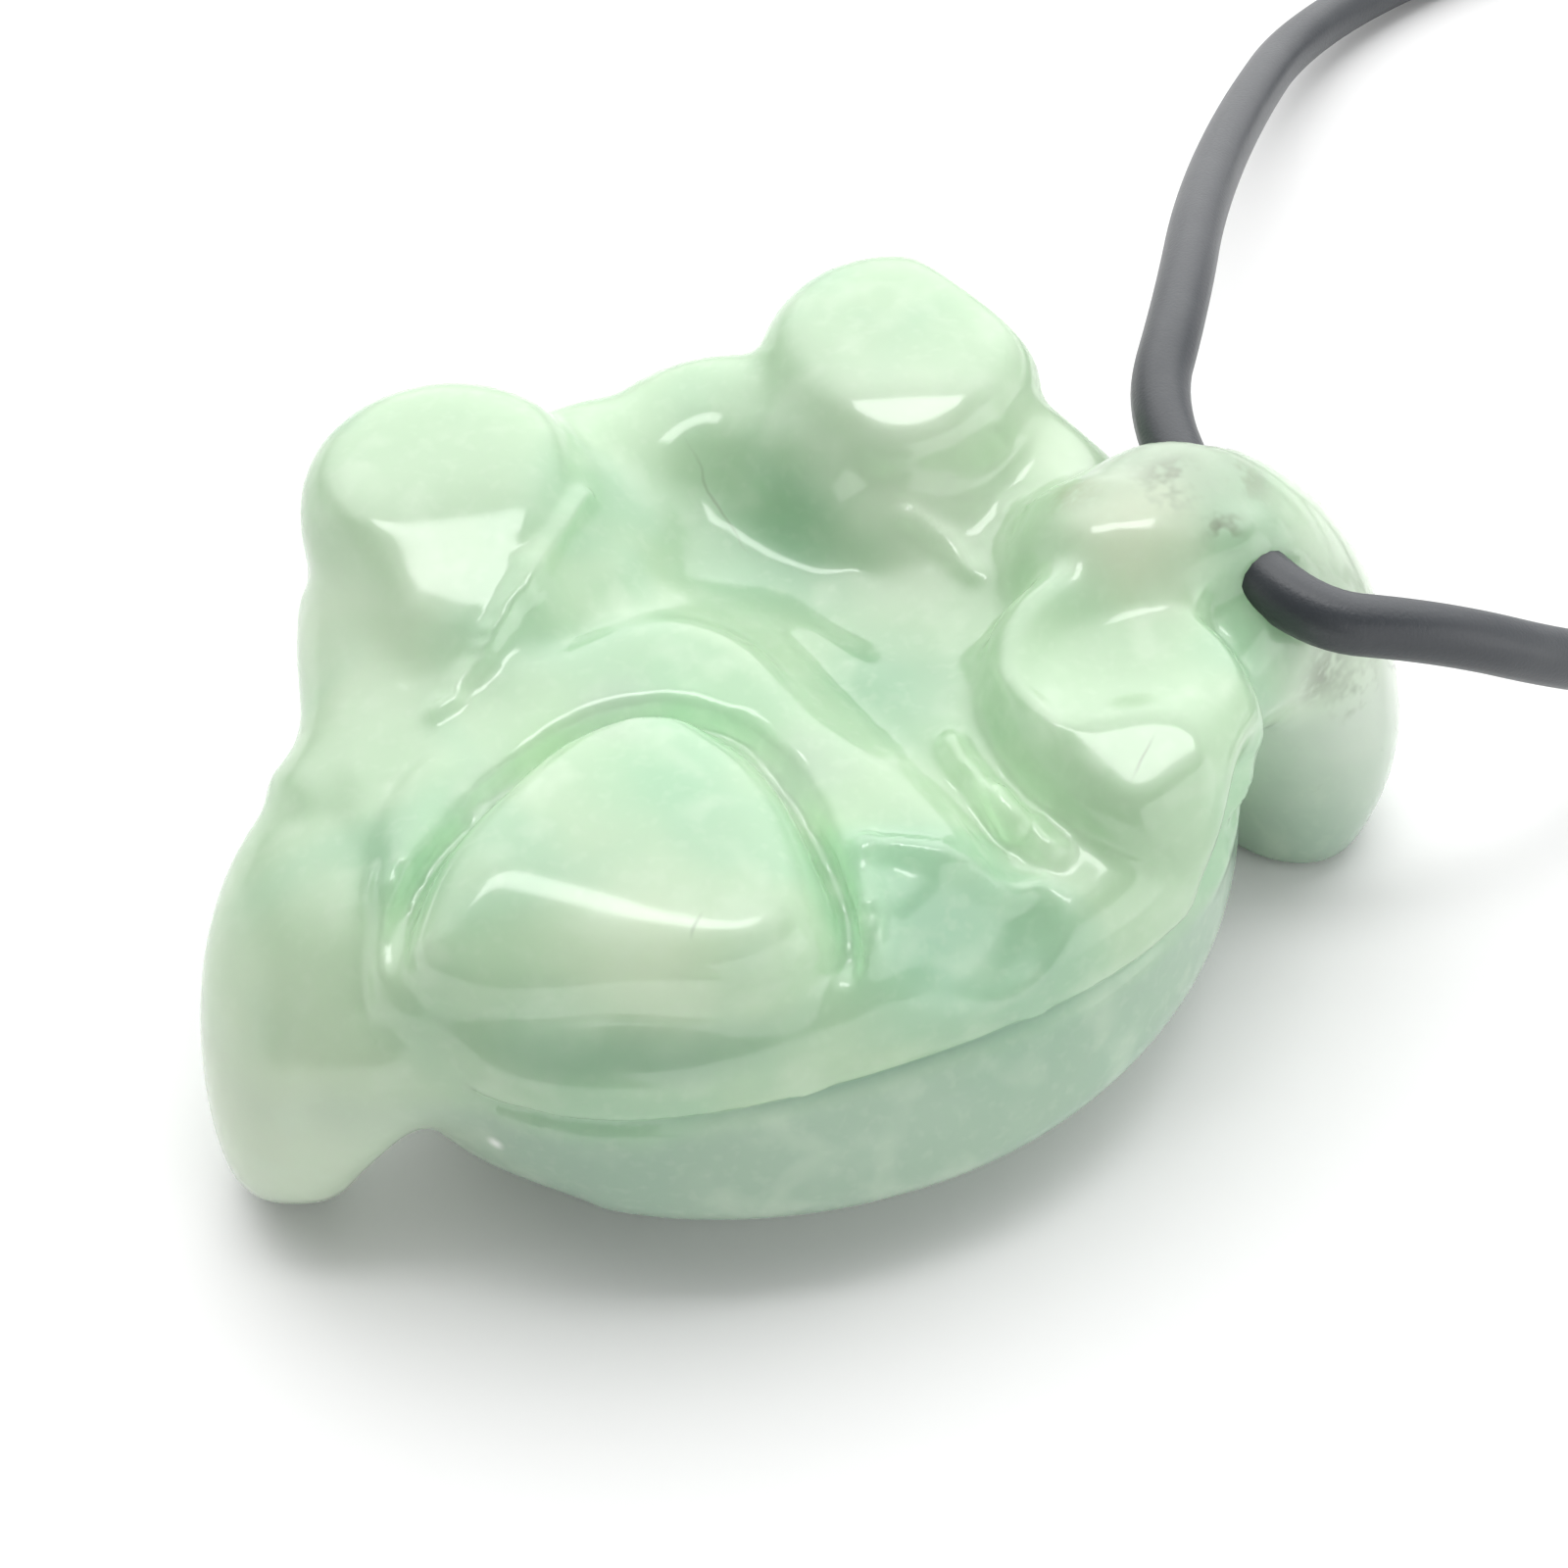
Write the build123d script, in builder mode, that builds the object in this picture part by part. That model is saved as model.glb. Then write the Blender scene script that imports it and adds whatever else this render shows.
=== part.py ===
from build123d import *
from collections import namedtuple
import math
import os

# A turtle carved in one piece of jade, lying on its domed back with its belly up. A round cord
# runs through a hole drilled across its neck and closes in a plain tube clasp.
# Millimetres. X runs from tail to head, the table is Z = 0, and -Y is the near side.

# Where the carving stands, with the middle of its box over the origin
AXIS_Y = -0.68  # line of the head and the tail
SHELL_X = -1.24  # middle of the shell
SHELL_Y = -0.23

# Shell
SHELL_LENGTH = 30.0
SHELL_WIDTH = 26.4
SHELL_SKEW = 1.8  # the near side of its tail end stands this much further out
RIM_RISE = 9.1  # from the table to the incised line, at the shell's middle
RIM_LEAN = 5.5  # degrees, the far side of the rim is the higher one
RIM_HEIGHT = 3.5  # from the incised line up to the belly
LINE_WIDTH = 0.7
LINE_DEPTH = 0.5
DISH_DEPTH = 1.5  # hollow of the belly between the feet
DISH_RADIUS = 26.0

# Feet
FOOT_LENGTH = 10.6
FOOT_WIDTH = 9.6
FEET_TOP = 16.1
FOOT_SINK = 3.2  # how far a foot reaches down into the belly
FLAP_TOP = 14.0  # the flat near foot, at its middle
FLAP_LEAN = 8.0  # degrees, its straight edge is the lower one
SOCKET_GAP = 0.9  # channel carved round the flat foot
SOCKET_DEPTH = 1.2
BAND_TOP = 12.7  # the leg, a raised band round the channel
BAND_LEAN = 6.0

# Neck, head and tail
NECK_CREST = 15.5  # top of the neck above the table
HEAD_REACH = 22.45  # front of the head from the shell's middle
HEAD_WIDTH = 10.0
HEAD_THICKNESS = 7.6
TAIL_REACH = 19.95  # outside of the tail from the shell's middle
TAIL_ROOT = 10.2  # middle of the tail's root above the table
TAIL_WIDTH = 10.4
TAIL_THICKNESS = 4.4
TAIL_SWING = 3.9  # the tip bends this far to the near side

# Cord and clasp
CORD_DIAMETER = 2.0
CORD_CLEARANCE = 0.35  # all round, in the hole
MOUTH_SPAN = 7.4  # from end to end of the hole, which opens out where the cord bends
MOUTH_DIAMETER = 4.6
MOUTH_DEPTH = 1.9
HOLE_AHEAD = 15.25  # middle of the hole from the shell's middle
HOLE_Z = 13.2
LOOP_REACH = 88.6  # from the hole to the furthest run of the cord
LOOP_SPREAD = 38.3  # from the hole to the far run
CLASP_AHEAD = 50.8  # middle of the clasp from the hole
CLASP_NEAR = 11.9
CLASP_DIAMETER = 3.6
CLASP_LENGTH = 14.0
CLASP_EDGE = 0.5
CLASP_LEAD = 3.0  # the cord leaves the clasp straight for this far

BELLY = RIM_RISE + RIM_HEIGHT
LINE_FLOOR = RIM_RISE - LINE_WIDTH / 2
LINE_ROOF = RIM_RISE + LINE_WIDTH / 2
HOLE_X = SHELL_X + HOLE_AHEAD
HOLE_RADIUS = CORD_DIAMETER / 2 + CORD_CLEARANCE
UPRIGHT = (Align.CENTER, Align.CENTER, Align.MIN)

ShellRow = namedtuple("ShellRow", "rise size fullness forward near")
Foot = namedtuple("Foot", "x y length width top turn lean")
FormRow = namedtuple("FormRow", "rise size")
Spot = namedtuple("Spot", "x y")
NeckRow = namedtuple("NeckRow", "x z dive thickness width")
TailRow = namedtuple("TailRow", "x z swing dive thickness width")
Waypoint = namedtuple("Waypoint", "x y rise")

# Shell ovals from the flat it rests on up to the belly: rise is a share of the dome's or the
# rim's height, size a share of the full oval, and forward and near shift it by shares of the
# shell's length and width. A fullness of 2 is an ellipse, and more is squarer.
DOME_ROWS = [
    ShellRow(0.0, 0.50, 2.0, 0.010, 0.070),
    ShellRow(0.08, 0.67, 2.0, 0.010, 0.066),
    ShellRow(0.24, 0.85, 2.0, 0.008, 0.060),
    ShellRow(0.50, 0.985, 2.0, 0.004, 0.050),
    ShellRow(0.78, 1.0, 2.2, 0.0, 0.024),
    ShellRow(1.0, 0.985, 2.6, 0.0, 0.0),
]
LINE_ROWS = [
    ShellRow(0.0, 0.985, 2.6, 0.0, 0.0),
    ShellRow(1.0, 0.985, 2.6, 0.0, 0.0),
]
RIM_ROWS = [
    ShellRow(0.0, 0.985, 2.6, 0.0, 0.0),
    ShellRow(0.35, 0.985, 2.6, 0.0, 0.0),
    ShellRow(0.75, 0.955, 2.6, 0.0, 0.0),
    ShellRow(1.0, 0.87, 2.5, 0.0, 0.0),
]
OUTLINE_POINTS = 24

# Round feet, with places as shares of the shell's length and width from its middle.
FEET = [
    Foot(x=0.315, y=-0.229, length=1.0, width=0.84, top=0.89, turn=-78, lean=14),  # near front
    Foot(x=-0.238, y=0.362, length=0.90, width=1.0, top=1.0, turn=15, lean=-4),  # far rear
    Foot(x=0.288, y=0.362, length=1.0, width=1.0, top=0.99, turn=75, lean=-4),  # far front
]
MOUND_ROWS = [FormRow(0.0, 0.96), FormRow(0.5, 1.0), FormRow(0.78, 0.92), FormRow(0.94, 0.70), FormRow(1.0, 0.40)]

# Outlines of the flat near foot and of the leg round it, as shares of the shell's size.
FLAP_SPOTS = [
    Spot(-0.463, -0.245), Spot(-0.422, -0.172), Spot(-0.332, -0.100), Spot(-0.220, -0.056), Spot(-0.124, -0.066),
    Spot(-0.060, -0.165), Spot(-0.052, -0.300), Spot(-0.075, -0.400), Spot(-0.130, -0.430), Spot(-0.285, -0.378),
    Spot(-0.430, -0.312),
]
FLAP_ROWS = [FormRow(0.0, 0.98), FormRow(0.55, 1.0), FormRow(0.82, 0.93), FormRow(1.0, 0.68)]
SOCKET_ROWS = [FormRow(0.0, 1.0), FormRow(1.0, 1.0)]
BAND_SPOTS = [
    Spot(-0.480, -0.160), Spot(-0.405, 0.000), Spot(-0.240, 0.075), Spot(-0.075, 0.108), Spot(-0.012, 0.060),
    Spot(0.010, -0.050), Spot(0.050, -0.185), Spot(0.100, -0.300), Spot(0.110, -0.390), Spot(0.040, -0.425),
    Spot(-0.100, -0.440), Spot(-0.280, -0.410), Spot(-0.440, -0.325), Spot(-0.495, -0.250),
]
BAND_ROWS = [FormRow(0.0, 0.96), FormRow(0.65, 1.0), FormRow(0.9, 0.94), FormRow(1.0, 0.84)]

# Neck and head in one, from the belly, over the hole and down to the table: x is a share of
# the head's reach, z of the neck's crest, and the rest of the head's thickness and width.
NECK_ROWS = [
    NeckRow(0.280, 0.645, -12, 0.46, 0.46),
    NeckRow(0.430, 0.735, -8, 0.70, 0.62),
    NeckRow(0.581, 0.768, 4, 0.92, 0.73),
    NeckRow(0.724, 0.677, 36, 0.95, 0.80),
    NeckRow(0.782, 0.516, 62, 1.0, 0.92),
    NeckRow(0.826, 0.329, 84, 1.02, 1.02),
    NeckRow(0.826, 0.103, 91, 0.96, 1.08),
    NeckRow(0.822, 0.0, 91, 0.86, 1.0),
]

# Tail: a broad tongue that bends down to the table, with x a share of its reach, z of its
# root's height, and swing of how far its tip bends.
TAIL_ROWS = [
    TailRow(0.50, 1.0, 0.15, 4, 1.0, 1.0),
    TailRow(0.715, 0.96, 0.28, 14, 1.05, 0.92),
    TailRow(0.835, 0.79, 0.55, 44, 1.15, 0.80),
    TailRow(0.875, 0.50, 0.84, 72, 1.18, 0.76),
    TailRow(0.905, 0.20, 1.0, 86, 0.92, 0.66),
    TailRow(0.912, 0.0, 1.06, 90, 0.55, 0.42),
]

# Corners of the cord's route from the clasp round to the clasp: x is a share of the loop's
# reach and y of its spread, both from the hole, and rise is a share of the way up to the hole.
ROUTE = [
    Waypoint(0.404, -0.310, 0.010),
    Waypoint(0.350, -0.290, 0.0),
    Waypoint(0.303, -0.165, 0.0),
    Waypoint(0.308, 0.015, 0.0),
    Waypoint(0.368, 0.130, 0.0),
    Waypoint(0.460, 0.090, 0.0),
    Waypoint(0.553, -0.070, 0.0),
    Waypoint(0.680, -0.165, 0.0),
    Waypoint(0.820, -0.110, 0.0),
    Waypoint(0.925, 0.105, 0.0),
    Waypoint(0.948, 0.395, 0.0),
    Waypoint(0.895, 0.665, 0.0),
    Waypoint(0.775, 0.812, 0.0),
    Waypoint(0.630, 0.818, 0.0),
    Waypoint(0.505, 0.722, 0.0),
    Waypoint(0.408, 0.520, 0.0),
    Waypoint(0.336, 0.285, 0.0),
    Waypoint(0.272, 0.083, 0.016),
    Waypoint(0.213, -0.068, 0.164),
    Waypoint(0.162, -0.146, 0.402),
    Waypoint(0.107, -0.175, 0.697),
    Waypoint(0.055, -0.164, 0.926),
    Waypoint(0.0, -0.118, 1.0),
    Waypoint(0.0, 0.124, 1.0),
    Waypoint(0.045, 0.261, 0.975),
    Waypoint(0.099, 0.451, 0.755),
    Waypoint(0.176, 0.678, 0.418),
    Waypoint(0.262, 0.900, 0.060),
    Waypoint(0.360, 0.987, 0.0),
    Waypoint(0.486, 1.0, 0.0),
    Waypoint(0.652, 0.985, 0.0),
    Waypoint(0.816, 0.905, 0.0),
    Waypoint(0.938, 0.728, 0.0),
    Waypoint(1.0, 0.444, 0.0),
    Waypoint(0.996, 0.094, 0.0),
    Waypoint(0.930, -0.175, 0.0),
    Waypoint(0.826, -0.298, 0.0),
    Waypoint(0.746, -0.319, 0.010),
]


def leaning_plane(x, y, z, lean):
    """A level plane at a point, raised on its far side by an angle in degrees."""
    angle = math.radians(lean)
    return Plane(origin=(x, y, z), x_dir=(1, 0, 0), z_dir=(0, -math.sin(angle), math.cos(angle)))


def shell_loft(rows, floor, height, inset=0.0):
    """A stack of shell ovals from a floor up, each leaning more the higher it is."""
    with BuildPart() as stack:
        for row in rows:
            rise = floor + row.rise * height
            points = []
            for k in range(OUTLINE_POINTS):
                turn = 2 * math.pi * k / OUTLINE_POINTS
                along = math.copysign(abs(math.cos(turn)) ** (2 / row.fullness), math.cos(turn))
                across = math.copysign(abs(math.sin(turn)) ** (2 / row.fullness), math.sin(turn))
                x = along * (SHELL_LENGTH * row.size / 2 - inset) + SHELL_SKEW * across * max(0, -along)
                points.append((x, across * (SHELL_WIDTH * row.size / 2 - inset)))
            x, y = SHELL_X + row.forward * SHELL_LENGTH, SHELL_Y - row.near * SHELL_WIDTH
            with BuildSketch(leaning_plane(x, y, rise, RIM_LEAN * rise / RIM_RISE)):
                with BuildLine():
                    Spline(*points, periodic=True)
                make_face()
        loft()
    return stack.part


def foot_mound(foot):
    """One round foot, sunk into the belly."""
    top = foot.top * FEET_TOP
    x, y = SHELL_X + foot.x * SHELL_LENGTH, SHELL_Y + foot.y * SHELL_WIDTH
    height = top - BELLY + FOOT_SINK
    with BuildPart() as mound:
        for row in MOUND_ROWS:
            with BuildSketch(leaning_plane(x, y, top - height * (1 - row.rise), foot.lean * row.rise)):
                Ellipse(
                    foot.length * FOOT_LENGTH / 2 * row.size,
                    foot.width * FOOT_WIDTH / 2 * row.size,
                    rotation=foot.turn,
                )
        loft()
    return mound.part


def outline_form(spots, rows, floor, top, lean, grow=0.0):
    """A form of one outline, which its rows shrink on the way up and a margin grows all round."""
    middle_x = sum(spot.x for spot in spots) / len(spots)
    middle_y = sum(spot.y for spot in spots) / len(spots)
    x, y = SHELL_X + middle_x * SHELL_LENGTH, SHELL_Y + middle_y * SHELL_WIDTH
    points = []
    for spot in spots:
        out = Vector((spot.x - middle_x) * SHELL_LENGTH, (spot.y - middle_y) * SHELL_WIDTH)
        points.append(out + out.normalized() * grow)
    with BuildPart() as form:
        for row in rows:
            with BuildSketch(leaning_plane(x, y, floor + (top - floor) * row.rise, lean)):
                with BuildLine():
                    Spline(*[point * row.size for point in points], periodic=True)
                make_face()
        loft()
    return form.part


shell_dome = shell_loft(DOME_ROWS, 0, LINE_FLOOR)
shell_line = shell_loft(LINE_ROWS, LINE_FLOOR - LINE_WIDTH, 3 * LINE_WIDTH, LINE_DEPTH)
shell_rim = shell_loft(RIM_ROWS, LINE_ROOF, BELLY - LINE_ROOF)
round_feet = [foot_mound(foot) for foot in FEET]
flap = outline_form(FLAP_SPOTS, FLAP_ROWS, BELLY - FOOT_SINK, FLAP_TOP, FLAP_LEAN)
socket = outline_form(FLAP_SPOTS, SOCKET_ROWS, BAND_TOP - SOCKET_DEPTH, FEET_TOP, FLAP_LEAN, SOCKET_GAP)
band = outline_form(BAND_SPOTS, BAND_ROWS, BELLY - FOOT_SINK, BAND_TOP, BAND_LEAN)

with BuildPart() as neck:
    for row in NECK_ROWS:
        dive = math.radians(row.dive)
        place = (SHELL_X + row.x * HEAD_REACH, AXIS_Y, row.z * NECK_CREST)
        with BuildSketch(Plane(origin=place, x_dir=(0, 1, 0), z_dir=(math.cos(dive), 0, -math.sin(dive)))):
            Ellipse(HEAD_WIDTH / 2 * row.width, HEAD_THICKNESS / 2 * row.thickness)
    loft()

with BuildPart() as tail:
    for row in TAIL_ROWS:
        dive = math.radians(row.dive)
        place = (SHELL_X - row.x * TAIL_REACH, AXIS_Y - row.swing * TAIL_SWING, row.z * TAIL_ROOT)
        with BuildSketch(Plane(origin=place, x_dir=(0, 1, 0), z_dir=(-math.cos(dive), 0, -math.sin(dive)))):
            Ellipse(TAIL_WIDTH / 2 * row.width, TAIL_THICKNESS / 2 * row.thickness)
    loft()

# The carving as one solid, with its belly hollowed, its neck drilled and its underside flat
# where it stands.
with BuildPart() as turtle:
    add(shell_dome)
    add(shell_line)
    add(shell_rim)
    with Locations((SHELL_X + 1.5, SHELL_Y + 2.5, BELLY - DISH_DEPTH + DISH_RADIUS)):
        Sphere(DISH_RADIUS, mode=Mode.SUBTRACT)
    add(band)
    add(socket, mode=Mode.SUBTRACT)
    add(flap)
    for foot in round_feet:
        add(foot)
    add(neck.part)
    add(tail.part)
    for side in (-1, 1):
        mouth = Plane(origin=(HOLE_X, AXIS_Y, HOLE_Z), x_dir=(1, 0, 0), z_dir=(0, side, 0))
        with Locations(mouth):
            Cylinder(HOLE_RADIUS, HEAD_WIDTH, align=UPRIGHT, mode=Mode.SUBTRACT)
        with Locations(mouth.offset(MOUTH_SPAN / 2 - MOUTH_DEPTH)):
            Cone(HOLE_RADIUS, MOUTH_DIAMETER / 2, MOUTH_DEPTH, align=UPRIGHT, mode=Mode.SUBTRACT)
    with Locations((0, 0, -HEAD_WIDTH)):
        Box(4 * HEAD_REACH, 2 * SHELL_WIDTH, HEAD_WIDTH, align=UPRIGHT, mode=Mode.SUBTRACT)
turtle.part.label = "turtle"

# Plain tube clasp, lying with its length along X.
clasp_middle = Vector(HOLE_X + CLASP_AHEAD, AXIS_Y - CLASP_NEAR, CLASP_DIAMETER / 2)
with BuildPart() as clasp:
    with Locations(Plane(origin=clasp_middle, z_dir=(1, 0, 0))):
        Cylinder(CLASP_DIAMETER / 2, CLASP_LENGTH)
    chamfer(clasp.edges().filter_by(GeomType.CIRCLE), CLASP_EDGE)
clasp.part.label = "clasp"

# Cord, from the clasp's tail-side face through the neck and back to its other face.
rest = CORD_DIAMETER / 2
to_end = Vector(CLASP_LENGTH / 2, 0, 0)
lead = Vector(CLASP_LEAD, 0, 0)
corners = [clasp_middle - to_end, clasp_middle - to_end - lead]
for point in ROUTE:
    x, y = HOLE_X + point.x * LOOP_REACH, AXIS_Y + point.y * LOOP_SPREAD
    corners.append(Vector(x, y, rest + point.rise * (HOLE_Z - rest)))
corners += [clasp_middle + to_end + lead, clasp_middle + to_end]

radii = []
for before, corner, after in zip(corners, corners[1:], corners[2:]):
    turn = math.radians((corner - before).get_angle(after - corner))
    shorter = min((corner - before).length, (after - corner).length)
    radii.append(0.45 * shorter / math.tan(turn / 2))

with BuildPart() as cord:
    with BuildLine() as route:
        FilletPolyline(*corners, radius=radii)
    with BuildSketch(route.line ^ 0):
        Circle(CORD_DIAMETER / 2)
    sweep(path=route.line)
cord.part.label = "cord"

os.makedirs("parts", exist_ok=True)
export_step(turtle.part, "parts/turtle.step")
export_step(clasp.part, "parts/clasp.step")
export_step(cord.part, "parts/cord.step")

cord_length = route.wire().length
cord_section = math.pi * CORD_DIAMETER**2 / 4
print("turtle", len(turtle.part.solids()), turtle.part.volume, turtle.part.bounding_box())
print("smallest bend radii", sorted(round(radius, 1) for radius in radii)[:6])
print("cord length", cord_length, "with the clasp", cord_length + CLASP_LENGTH)
print("cord volume", cord.part.volume, "section times length", cord_section * cord_length)
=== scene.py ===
"""Dresses a jade turtle pendant that lies belly up on a white table, threaded on its round cord."""

from __future__ import annotations

import logging
import math
from dataclasses import dataclass
from enum import Enum

import bmesh
import bpy
import numpy as np
from mathutils import Matrix, Vector, noise


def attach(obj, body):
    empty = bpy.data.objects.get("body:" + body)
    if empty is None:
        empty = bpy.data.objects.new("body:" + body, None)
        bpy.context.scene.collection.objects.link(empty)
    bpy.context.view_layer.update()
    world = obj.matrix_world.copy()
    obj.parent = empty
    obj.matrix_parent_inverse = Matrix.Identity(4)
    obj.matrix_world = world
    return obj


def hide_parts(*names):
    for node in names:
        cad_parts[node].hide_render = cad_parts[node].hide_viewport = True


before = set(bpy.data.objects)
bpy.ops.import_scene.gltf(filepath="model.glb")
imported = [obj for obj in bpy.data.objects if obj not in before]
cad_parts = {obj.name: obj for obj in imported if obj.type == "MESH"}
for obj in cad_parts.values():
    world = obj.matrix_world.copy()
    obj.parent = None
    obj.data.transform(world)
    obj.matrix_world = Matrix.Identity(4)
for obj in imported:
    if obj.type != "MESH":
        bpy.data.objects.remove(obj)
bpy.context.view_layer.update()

log = logging.getLogger("turtle_pendant")

MM = 0.001
BODY = "root"
CLOUD_MEAN = 0.5  # the value that a cloud has on average
COLUMN = 0.22  # how near a drawn point the surface is looked for, in millimetres

Point = tuple[float, ...]
Tint = tuple[float, float, float]


class Signal:
    """A socket of a node tree that takes part in shader maths."""

    def __init__(self, nodes: Nodes, socket: bpy.types.NodeSocket | None) -> None:
        """Wraps a socket.

        Args:
            nodes: The tree that the socket belongs to.
            socket: An output socket, or none for a node that has no output.
        """
        self.nodes = nodes
        self.socket = socket

    def _maths(self, operation: str, first: Input, second: Input) -> Signal:
        """Adds one Math node.

        Args:
            operation: The node's operation.
            first: The left operand.
            second: The right operand.

        Returns:
            The node's result.
        """
        return self.nodes.node("ShaderNodeMath", {"operation": operation}, {0: first, 1: second})

    def __add__(self, other: Input) -> Signal:
        """Returns the sum."""
        return self._maths("ADD", self, other)

    def __radd__(self, other: Input) -> Signal:
        """Returns the sum, with this signal on the right."""
        return self._maths("ADD", other, self)

    def __sub__(self, other: Input) -> Signal:
        """Returns the difference."""
        return self._maths("SUBTRACT", self, other)

    def __rsub__(self, other: Input) -> Signal:
        """Returns the difference, with this signal on the right."""
        return self._maths("SUBTRACT", other, self)

    def __mul__(self, other: Input) -> Signal:
        """Returns the product."""
        return self._maths("MULTIPLY", self, other)

    def distance_to(self, level: float) -> Signal:
        """Returns how far the signal is from a level, either way."""
        return self._maths("ABSOLUTE", self - level, 0.0)

    def rise(self, start: float, end: float) -> Signal:
        """Gives a soft step from 0 to 1, or from 1 to 0 where end lies under start.

        Args:
            start: The value where the step begins.
            end: The value where it is complete.

        Returns:
            The step.
        """
        low, high = min(start, end), max(start, end)
        settings = {"interpolation_type": "SMOOTHSTEP"}
        inputs = {"Value": self, "From Min": low, "From Max": high}
        step = self.nodes.node("ShaderNodeMapRange", settings, inputs)
        return step if start < end else 1.0 - step


Input = Signal | float | tuple


class Nodes:
    """The nodes of a material or of the world."""

    def __init__(self, tree: bpy.types.NodeTree) -> None:
        """Empties a node tree.

        Args:
            tree: The tree.
        """
        self.tree = tree
        self.tree.nodes.clear()

    def node(
        self,
        kind: str,
        settings: dict | None = None,
        inputs: dict | None = None,
        output: str | int = 0,
    ) -> Signal:
        """Adds a node of any type.

        Args:
            kind: The node's type name.
            settings: Its properties.
            inputs: The values or links of its sockets, by name or by number.
            output: The output socket that is wanted.

        Returns:
            That output.
        """
        node = self.tree.nodes.new(kind)
        for key, value in (settings or {}).items():
            setattr(node, key, value)
        for key, value in (inputs or {}).items():
            if isinstance(value, Signal):
                self.tree.links.new(value.socket, node.inputs[key])
            else:
                node.inputs[key].default_value = value
        return Signal(self, node.outputs[output] if node.outputs else None)

    def facing(self, place: Signal, heading: Point) -> Signal:
        """Measures how far a place lies in one direction.

        Args:
            place: The coordinates.
            heading: The direction.

        Returns:
            Their dot product.
        """
        inputs = {0: place, 1: heading}
        return self.node("ShaderNodeVectorMath", {"operation": "DOT_PRODUCT"}, inputs, output="Value")


class Recipe(Nodes):
    """One material and the nodes that make it up."""

    def __init__(self, name: str) -> None:
        """Starts an empty material.

        Args:
            name: The material's name.
        """
        self.material = bpy.data.materials.new(name)
        self.material.use_nodes = True
        super().__init__(self.material.node_tree)
        place = self.node("ShaderNodeTexCoord", output="Object")
        self.place = self.node("ShaderNodeVectorMath", {"operation": "SCALE"}, {0: place, "Scale": 1 / MM})

    def cloud(
        self, size: float, detail: float = 2.0, shift: Point = (0.0, 0.0, 0.0), warp: float = 0.0
    ) -> Signal:
        """Gives a soft three-dimensional noise.

        Args:
            size: The size of its blotches, in millimetres.
            detail: How many finer layers it has.
            shift: Where it is read, in millimetres.
            warp: The distortion of its blotches.

        Returns:
            The noise, about 0.5 on average.
        """
        place = self.node("ShaderNodeVectorMath", {"operation": "ADD"}, {0: self.place, 1: shift})
        inputs = {"Vector": place, "Scale": 1.0 / size, "Detail": detail, "Distortion": warp}
        return self.node("ShaderNodeTexNoise", None, inputs)

    def spot(self, centre: Point, radius: float, place: Signal | None = None) -> Signal:
        """Gives a round soft mask.

        Args:
            centre: Its middle, in millimetres.
            radius: Where it has faded out, in millimetres.
            place: The coordinates that it is read at, or none for the plain ones.

        Returns:
            The mask, 1 in the middle.
        """
        inputs = {0: place or self.place, 1: centre}
        away = self.node("ShaderNodeVectorMath", {"operation": "DISTANCE"}, inputs, output="Value")
        return away.rise(radius, 0.0)

    def axis(self, letter: str) -> Signal:
        """Returns one coordinate in millimetres."""
        return self.node("ShaderNodeSeparateXYZ", None, {0: self.place}, output=letter)

    def blend(self, share: Input, first: Input, second: Input) -> Signal:
        """Mixes two colours.

        Args:
            share: How much of the second shows.
            first: The colour at 0.
            second: The colour at 1.

        Returns:
            The mixed colour.
        """
        colours = [(*c, 1.0) if isinstance(c, tuple) else c for c in (first, second)]
        settings = {"data_type": "RGBA"}
        return self.node("ShaderNodeMix", settings, {0: share, 6: colours[0], 7: colours[1]}, output=2)

    def relief(self, height: Signal, depth: float) -> Signal:
        """Turns a height into a surface normal.

        Args:
            height: The height, from 0 to 1.
            depth: Its range in millimetres.

        Returns:
            The normal.
        """
        inputs = {"Height": height, "Distance": depth * MM, "Strength": 1.0}
        return self.node("ShaderNodeBump", None, inputs)

    def surface(self, inputs: dict) -> bpy.types.Material:
        """Adds the shader and finishes the material.

        Args:
            inputs: The values or links of the Principled shader's sockets.

        Returns:
            The material.
        """
        shader = self.node("ShaderNodeBsdfPrincipled", {"subsurface_method": "BURLEY"}, inputs)
        self.node("ShaderNodeOutputMaterial", None, {"Surface": shader})
        return self.material


@dataclass(frozen=True)
class Zone:
    """A round patch of other colour: most are the stone's own tones; those so marked are painted light and
    painted shade.
    """

    centre: Point
    radius: float
    colour: Tint
    share: float


@dataclass(frozen=True)
class Seam:
    """A darker sheet through the stone: where thin it meets the surface as a crack, else as a band; the
    bands under the flat foot and in the incised line are painted shade.
    """

    centre: Point
    across: Point  # the direction of its thickness
    radius: float
    share: float
    width: float = 0.09  # from its middle to where it has faded out
    wobble: float = 0.8  # how far the clouds push it along that direction
    colour: Tint = (0.22, 0.26, 0.19)

    def mask(self, recipe: Recipe, wander: Signal) -> Signal:
        """Gives how much of the seam shows at each point.

        Args:
            recipe: The material's recipe.
            wander: A cloud that keeps the line from being straight.

        Returns:
            The mask.
        """
        level = sum(place * part for place, part in zip(self.centre, self.across, strict=True))
        reach = recipe.facing(recipe.place, self.across) + wander * self.wobble
        line = reach.distance_to(level + self.wobble * CLOUD_MEAN).rise(self.width, 0.0)
        return line * recipe.spot(self.centre, self.radius) * self.share


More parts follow.
